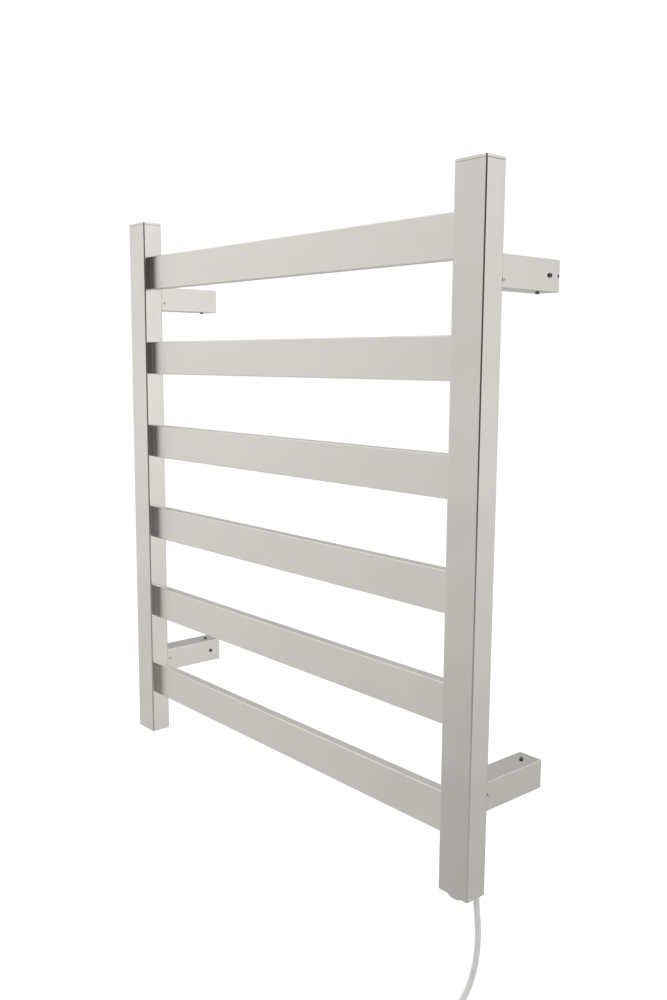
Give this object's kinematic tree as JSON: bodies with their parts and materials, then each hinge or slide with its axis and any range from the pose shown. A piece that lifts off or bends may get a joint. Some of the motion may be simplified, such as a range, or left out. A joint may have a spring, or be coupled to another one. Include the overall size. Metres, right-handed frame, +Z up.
{
  "type": "towel warmer",
  "caption": "Wall-mounted electric towel warmer with flat polished bars between rectangular posts, standoff arms, a push button and a mains lead.",
  "frame": {"origin": "middle of the wall plane, level with the rack's middle", "axes": "+X along the bars, towards the post with the push button and the lead; +Y back into the wall, so the whole rack lies at y < 0; +Z up along the posts"},
  "size_m": [0.715, 0.134, 1.1699],
  "materials": {
    "polished_steel": "polished",
    "zinc_plated": "satin",
    "screw_steel": "satin",
    "brass": "satin",
    "cord_grey": "satin",
    "relief_grey": "satin",
    "black_plastic": "satin",
    "ceramic": "matte",
    "silicone": "matte",
    "wire_brown": "satin",
    "wire_blue": "satin",
    "wire_green": "satin"
  },
  "bodies": {
    "rack": {"bar_1": "polished_steel", "bar_2": "polished_steel", "bar_3": "polished_steel", "bar_4": "polished_steel", "bar_5": "polished_steel", "bar_6": "polished_steel", "cord_hank": "cord_grey", "cord_strain_relief": "relief_grey", "cord_tie": "relief_grey", "earth_lug": "brass", "earth_nut": "zinc_plated", "earth_stud": "zinc_plated", "heating_cable": "silicone", "lead_earth": "wire_green", "lead_limiter": "wire_brown", "lead_live": "wire_brown", "lead_neutral": "wire_blue", "lead_switched": "wire_brown", "left_bottom_cap": "polished_steel", "left_post": "polished_steel", "left_top_cap": "polished_steel", "lower_left_arm": "polished_steel", "lower_left_arm_screw": "polished_steel", "lower_left_post_stub": "zinc_plated", "lower_left_set_screw_side": "screw_steel", "lower_left_set_screw_top": "screw_steel", "lower_left_wall_bracket": "zinc_plated", "lower_right_arm": "polished_steel", "lower_right_arm_screw": "polished_steel", "lower_right_post_stub": "zinc_plated", "lower_right_set_screw_side": "screw_steel", "lower_right_set_screw_top": "screw_steel", "lower_right_wall_bracket": "zinc_plated", "mains_cord": "cord_grey", "plug_blade_line": "brass", "plug_blade_neutral": "brass", "plug_body": "cord_grey", "plug_ground_pin": "brass", "right_bottom_cap": "polished_steel", "right_post": "polished_steel", "right_top_cap": "polished_steel", "switch_contacts": "black_plastic", "switch_housing": "polished_steel", "switch_nut": "black_plastic", "switch_spring": "zinc_plated", "terminal_block": "ceramic", "thermal_cutout": "ceramic", "upper_left_arm": "polished_steel", "upper_left_arm_screw": "polished_steel", "upper_left_post_stub": "zinc_plated", "upper_left_set_screw_side": "screw_steel", "upper_left_set_screw_under": "screw_steel", "upper_left_wall_bracket": "zinc_plated", "upper_right_arm": "polished_steel", "upper_right_arm_screw": "polished_steel", "upper_right_post_stub": "zinc_plated", "upper_right_set_screw_side": "screw_steel", "upper_right_set_screw_under": "screw_steel", "upper_right_wall_bracket": "zinc_plated"},
    "power_button": {"power_button": "polished_steel"}
  },
  "joints": [
    {"name": "power_button_press", "type": "slide", "parent": "rack", "child": "power_button", "axis": [0, 0, 1], "range_m": [0, 0.0025], "stiffness_N_per_m": 1200, "springref_m": -0.001, "deforming": ["switch_spring"]}
  ]
}
